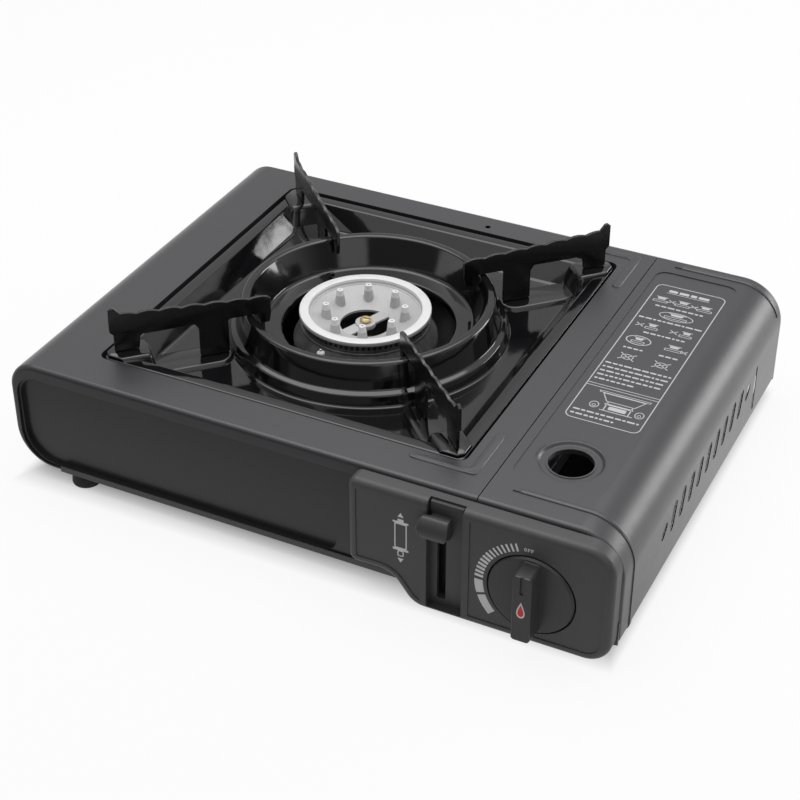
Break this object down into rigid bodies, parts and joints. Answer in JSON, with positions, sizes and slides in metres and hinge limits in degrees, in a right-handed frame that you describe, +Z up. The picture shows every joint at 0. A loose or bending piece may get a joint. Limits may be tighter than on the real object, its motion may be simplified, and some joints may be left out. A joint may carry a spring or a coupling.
{
  "type": "portable butane gas stove",
  "caption": "Low tabletop gas stove with a round burner in a square drip pan, four pot supports, a hinged cartridge lid, a control knob and a lock lever.",
  "frame": {"origin": "middle of the stove's footprint, on the surface it stands on", "axes": "+X to the right towards the cartridge bay, +Y to the back, +Z up; the controls face -Y"},
  "size_m": [0.3426, 0.275, 0.099],
  "materials": {
    "body_paint": "satin dark grey powder coat, fine texture",
    "panel_paint": "smooth satin black paint",
    "black_enamel": "glossy black vitreous enamel",
    "support_enamel": "semi-gloss black enamel",
    "moulded_plastic": "matt dark grey moulding",
    "dark_plastic": "matt black moulding",
    "cast_aluminium": "sandblasted die casting",
    "black_iron": "heat-resistant black",
    "dark_steel": "dull steel tube",
    "plain_steel": "zinc-plated sheet",
    "brass": "turned brass",
    "zinc_casting": "dull zinc die casting",
    "black_rubber": "matt black rubber",
    "white_ceramic": "glazed white ceramic"
  },
  "bodies": {
    "housing": {"base_plate": "body_paint", "body_cover": "body_paint", "burner_bowl": "black_iron", "burner_bracket": "plain_steel", "burner_head": "cast_aluminium", "burner_port_ring": "black_iron", "burner_screw": "brass", "cartridge_locating_tab": "plain_steel", "cartridge_socket": "brass", "control_panel": "moulded_plastic", "electrode_clip": "plain_steel", "foot_front_left": "black_rubber", "foot_front_right": "black_rubber", "foot_rear_left": "black_rubber", "foot_rear_right": "black_rubber", "front_panel": "panel_paint", "gas_jet": "brass", "gas_valve": "zinc_casting", "igniter_housing": "moulded_plastic", "lid_hinge_pin_front": "plain_steel", "lid_hinge_pin_rear": "plain_steel", "mixing_tube": "dark_steel", "partition_wall": "plain_steel", "rear_panel": "panel_paint", "regulator_cap": "zinc_casting", "socket_seal": "black_rubber", "spark_electrode": "white_ceramic"},
    "lid": {"cartridge_lid": "body_paint"},
    "pan": {"drip_pan": "black_enamel", "pot_support_front_left": "support_enamel", "pot_support_front_right": "support_enamel", "pot_support_rear_left": "support_enamel", "pot_support_rear_right": "support_enamel"},
    "knob": {"gas_knob": "moulded_plastic", "valve_spindle": "brass", "ignition_cam": "dark_plastic"},
    "plunger": {"igniter_plunger": "plain_steel"},
    "lever": {"lock_lever": "dark_plastic"},
    "carriage": {"cartridge_carriage": "plain_steel"}
  },
  "joints": [
    {"name": "lid_hinge", "type": "hinge", "parent": "housing", "child": "lid", "pos_m": [0.16325, 0.01045, 0.013], "axis": [0, 1, 0], "range_deg": [0, 90]},
    {"name": "knob_turn", "type": "hinge", "parent": "housing", "child": "knob", "pos_m": [0.12925, -0.11955, 0.0326], "axis": [0, -1, 0], "range_deg": [0, 130]},
    {"name": "igniter_plunger_slide", "type": "slide", "parent": "housing", "child": "plunger", "axis": [-1, 0, 0], "range_m": [0, 0.004]},
    {"name": "lock_lever_slide", "type": "slide", "parent": "housing", "child": "lever", "axis": [0, 0, -1], "range_m": [0, 0.026]},
    {"name": "carriage_slide", "type": "slide", "parent": "housing", "child": "carriage", "axis": [0, -1, 0], "range_m": [0, 0.006]},
    {"name": "pan_lift", "type": "slide", "parent": "housing", "child": "pan", "axis": [0, 0, 1], "range_m": [0, 0.06]}
  ],
  "couplings": [
    {"joint": "igniter_plunger_slide", "follows": "knob_turn", "m_per_rad": 0.001763},
    {"joint": "carriage_slide", "follows": "lock_lever_slide", "ratio": 0.23077}
  ]
}
